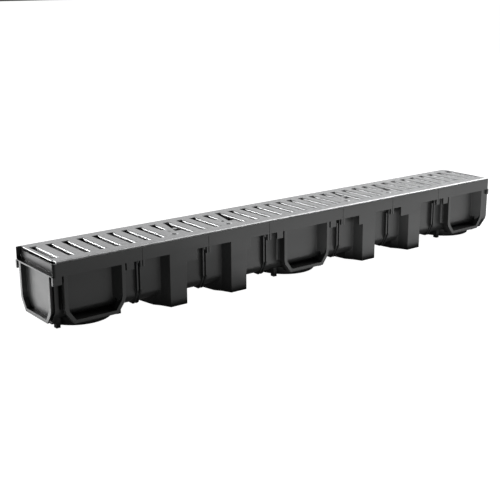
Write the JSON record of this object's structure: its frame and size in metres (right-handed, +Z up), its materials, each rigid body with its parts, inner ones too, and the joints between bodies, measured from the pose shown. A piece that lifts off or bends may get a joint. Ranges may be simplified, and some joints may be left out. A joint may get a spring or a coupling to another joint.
{
  "type": "linear drainage channel",
  "caption": "Long plastic surface-water drainage channel with a slotted galvanised steel grating held down by swivel latches.",
  "frame": {"origin": "middle of the channel on the ground plane under its feet", "axes": "+X along the channel, +Y across it, +Z up; the pictured near end is -X and the front side -Y"},
  "size_m": [1, 0.13, 0.1141],
  "materials": {
    "black_plastic": "satin moulded polypropylene",
    "zinc_steel": "hot-dip galvanised, dull spangle",
    "latch_steel": "zinc plated",
    "rivet_steel": "zinc plated"
  },
  "bodies": {
    "channel": {"channel_body": "black_plastic", "grating": "zinc_steel", "lock_rivets": "rivet_steel"},
    "latch_left": {"latch_left": "latch_steel"},
    "latch_right": {"latch_right": "latch_steel"}
  },
  "joints": [
    {"name": "latch_left_swing", "type": "hinge", "parent": "channel", "child": "latch_left", "pos_m": [-0.2599, -0.0143, 0.104], "axis": [0, 0, -1], "range_deg": [0, 34]},
    {"name": "latch_right_swing", "type": "hinge", "parent": "channel", "child": "latch_right", "pos_m": [0.1265, -0.0143, 0.104], "axis": [0, 0, -1], "range_deg": [0, 34]}
  ]
}
